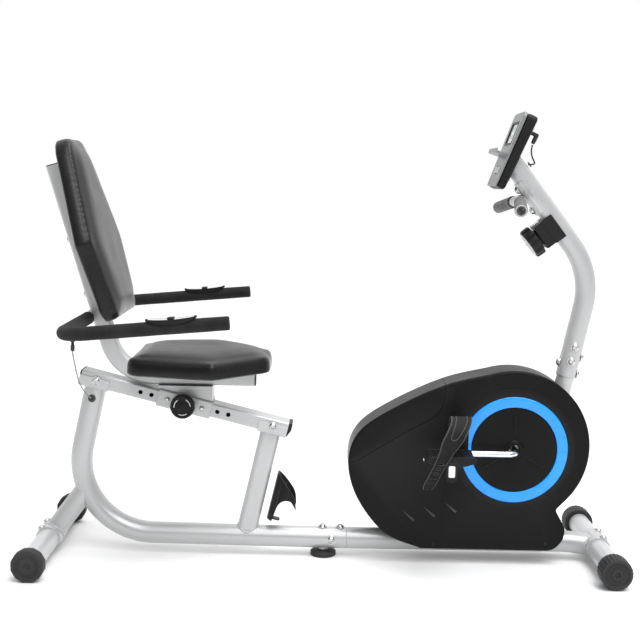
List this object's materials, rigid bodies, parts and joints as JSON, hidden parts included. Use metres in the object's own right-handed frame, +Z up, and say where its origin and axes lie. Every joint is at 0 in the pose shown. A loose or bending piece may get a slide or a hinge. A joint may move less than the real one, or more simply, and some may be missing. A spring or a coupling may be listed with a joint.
{
  "type": "recumbent exercise bike",
  "caption": "Home recumbent exercise bike: sliding padded seat with side grips, enclosed magnetic flywheel drive, cranks with strapped pedals, and a tilted console on a bent mast.",
  "frame": {"origin": "on the floor, midway along and across the bike, under the levelling foot", "axes": "+X points forward from the seat to the console, +Y to the rider's left, +Z up"},
  "size_m": [1.3517, 0.719, 1.0365],
  "materials": {
    "silver_paint": "satin silver-grey paint",
    "black_plastic": "satin moulded black plastic",
    "cap_plastic": "matt dark grey plastic",
    "blue_plastic": "bright azure plastic",
    "chrome": "polished chrome plate",
    "steel": "bare pressed steel",
    "iron": "turned cast iron",
    "foam": "closed-cell foam rubber",
    "leatherette": "black leatherette over foam",
    "black_rubber": "matt soft rubber",
    "lead_grey": "smooth grey insulation",
    "silver_plastic": "silver-coated plastic",
    "screen": "pale liquid crystal window",
    "button": "soft grey moulding"
  },
  "bodies": {
    "root": {"rear_frame_tube": "silver_paint", "rear_leg": "silver_paint", "rear_stabiliser": "silver_paint", "rear_cap_right": "cap_plastic", "rear_cap_left": "cap_plastic", "front_post": "silver_paint", "seat_rail": "silver_paint", "rail_cap_front": "black_plastic", "bottle_cage": "black_plastic", "front_frame_tube": "silver_paint", "front_stabiliser": "silver_paint", "mast_post": "silver_paint", "mast": "silver_paint", "bottom_bracket": "silver_paint", "bearing_cup_right": "steel", "bearing_cup_left": "steel", "flywheel_fork": "steel", "drive_belt": "black_rubber", "housing_right": "black_plastic", "housing_left": "black_plastic", "top_rear_cover": "black_plastic", "disc_cover_right": "black_plastic", "disc_cover_left": "black_plastic", "accent_ring_right": "blue_plastic", "accent_ring_left": "blue_plastic", "console_housing": "black_plastic", "console_face": "silver_plastic", "console_screen": "screen", "jumper_plug": "black_rubber", "jumper_lead": "black_rubber", "tension_housing": "black_plastic", "front_handlebar": "silver_paint", "front_grip_right": "foam", "front_grip_left": "foam"},
    "seat": {"seat_slider": "silver_paint", "seat_tube": "silver_paint", "seat_cushion": "leatherette", "back_cushion": "leatherette", "seat_handlebar": "silver_paint", "seat_grip_right": "foam", "seat_grip_left": "foam", "pulse_sensor_right": "black_plastic", "pulse_sensor_left": "black_plastic", "pulse_plug": "black_rubber", "pulse_lead": "lead_grey"},
    "release": {"release_knob": "black_plastic"},
    "crank_set": {"crank": "chrome", "drive_pulley": "black_plastic"},
    "pedal_right_set": {"pedal_right": "black_plastic", "pedal_strap_right": "black_rubber"},
    "pedal_left_set": {"pedal_left": "black_plastic", "pedal_strap_left": "black_rubber"},
    "flywheel_set": {"flywheel": "iron"},
    "magnets": {"magnet_bracket": "steel"},
    "tension": {"tension_knob": "black_plastic"},
    "wheel_right": {"front_wheel_right": "cap_plastic"},
    "wheel_left": {"front_wheel_left": "cap_plastic"},
    "foot": {"levelling_foot": "cap_plastic"},
    "mode": {"mode_button": "button"},
    "reset": {"reset_button": "button"}
  },
  "joints": [
    {"name": "crank_spin", "type": "hinge", "parent": "root", "child": "crank_set", "pos_m": [0.432, 0, 0.272], "axis": [0, 1, 0], "continuous": true},
    {"name": "flywheel_spin", "type": "hinge", "parent": "root", "child": "flywheel_set", "pos_m": [0.185, 0, 0.235], "axis": [0, 1, 0], "continuous": true},
    {"name": "pedal_right_spin", "type": "hinge", "parent": "crank_set", "child": "pedal_right_set", "pos_m": [0.274, -0.161, 0.272], "axis": [0, 1, 0], "continuous": true},
    {"name": "pedal_left_spin", "type": "hinge", "parent": "crank_set", "child": "pedal_left_set", "pos_m": [0.59, 0.161, 0.272], "axis": [0, 1, 0], "continuous": true},
    {"name": "seat_slide", "type": "slide", "parent": "root", "child": "seat", "axis": [0.972, 0, -0.2351], "range_m": [-0.078, 0.078]},
    {"name": "release_pull", "type": "slide", "parent": "seat", "child": "release", "axis": [0, -1, 0], "range_m": [0, 0.006], "stiffness_N_per_m": 900, "springref_m": -0.006},
    {"name": "tension_turn", "type": "hinge", "parent": "root", "child": "tension", "pos_m": [0.47856, 0, 0.75609], "axis": [-0.7902, 0, -0.6129], "range_deg": [-140, 140]},
    {"name": "magnet_swing", "type": "hinge", "parent": "root", "child": "magnets", "pos_m": [0.14225, 0, 0.11754], "axis": [0, 1, 0], "range_deg": [-1.5, 1.5]},
    {"name": "wheel_right_spin", "type": "hinge", "parent": "root", "child": "wheel_right", "pos_m": [0.64, -0.1975, 0.036], "axis": [0, 1, 0], "continuous": true},
    {"name": "wheel_left_spin", "type": "hinge", "parent": "root", "child": "wheel_left", "pos_m": [0.64, 0.1975, 0.036], "axis": [0, 1, 0], "continuous": true},
    {"name": "foot_turn", "type": "hinge", "parent": "root", "child": "foot", "pos_m": [0, 0, 0.008], "axis": [0, 0, 1], "continuous": true},
    {"name": "mode_press", "type": "slide", "parent": "root", "child": "mode", "axis": [0.9386, 0, -0.345], "range_m": [0, 0.001], "stiffness_N_per_m": 400, "springref_m": -0.001},
    {"name": "reset_press", "type": "slide", "parent": "root", "child": "reset", "axis": [0.9386, 0, -0.345], "range_m": [0, 0.001], "stiffness_N_per_m": 400, "springref_m": -0.001}
  ],
  "couplings": [
    {"joint": "flywheel_spin", "follows": "crank_spin", "ratio": 5.8333},
    {"joint": "magnet_swing", "follows": "tension_turn", "ratio": 0.01}
  ]
}
